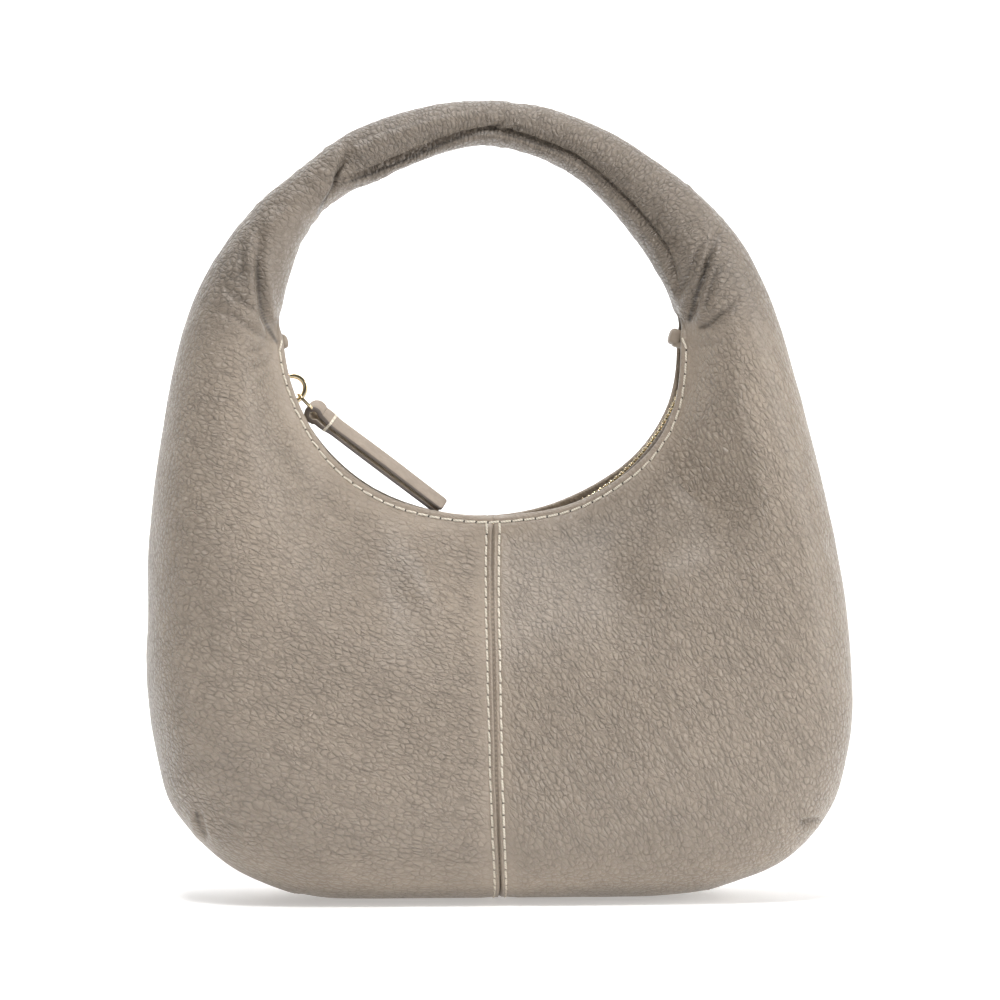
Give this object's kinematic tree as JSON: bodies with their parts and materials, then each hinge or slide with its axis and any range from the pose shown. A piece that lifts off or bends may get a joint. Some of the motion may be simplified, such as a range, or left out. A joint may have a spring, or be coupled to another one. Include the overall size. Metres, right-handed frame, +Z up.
{
  "type": "hobo bag",
  "caption": "Small slouchy hobo bag: one greige pebbled-leather band forms the body and rolled handle, with a curved gold zip mouth and a folded leather pull.",
  "frame": {"origin": "bottom centre of the bag's bounding box, where its base rests on the ground", "axes": "+X to the right as seen from the front, along the bag's width; +Y to the back; +Z up, towards the handle"},
  "size_m": [0.2393, 0.086, 0.2708],
  "materials": {
    "pebbled_leather": "satin pebbled greige",
    "pull_leather": "smooth greige with painted edges",
    "thread": "waxed cream thread",
    "zip_metal": "polished light gold",
    "zip_cloth": "woven tape",
    "lining_cloth": "plain weave cotton",
    "board": "matte stiffener",
    "wadding": "rolled felt"
  },
  "bodies": {
    "bag": {"leather_body": "pebbled_leather", "leather_handle": "pebbled_leather", "centre_seam_tape": "lining_cloth", "handle_core": "wadding", "base_board": "board", "lining_front": "lining_cloth", "lining_back": "lining_cloth", "slip_pocket": "lining_cloth", "zip_tape_front": "zip_cloth", "zip_tape_back": "zip_cloth", "zip_teeth_front": "zip_metal", "zip_teeth_back": "zip_metal", "zip_stops_closed": "zip_metal", "zip_stop_open": "zip_metal", "zip_end_tab_left": "pebbled_leather", "zip_end_tab_right": "pebbled_leather"},
    "slider": {"slider_body": "zip_metal", "slider_bridge": "zip_metal"},
    "link": {"pull_link": "zip_metal"},
    "pull": {"pull_tab": "pull_leather", "pull_stitch": "thread"}
  },
  "joints": [
    {"name": "slider_travel", "type": "hinge", "parent": "bag", "child": "slider", "pos_m": [-0.0055, 0, 0.1978], "axis": [0, -1, 0], "range_deg": [-4, 136]},
    {"name": "link_swing", "type": "hinge", "parent": "slider", "child": "link", "pos_m": [-0.06846, 0, 0.17081], "axis": [0, -1, 0], "range_deg": [-1, 18]},
    {"name": "pull_swing", "type": "hinge", "parent": "link", "child": "pull", "pos_m": [-0.06321, 0, 0.16532], "axis": [0, -1, 0], "range_deg": [0, 100]}
  ],
  "couplings": [
    {"joint": "link_swing", "follows": "slider_travel", "ratio": 0.125}
  ]
}
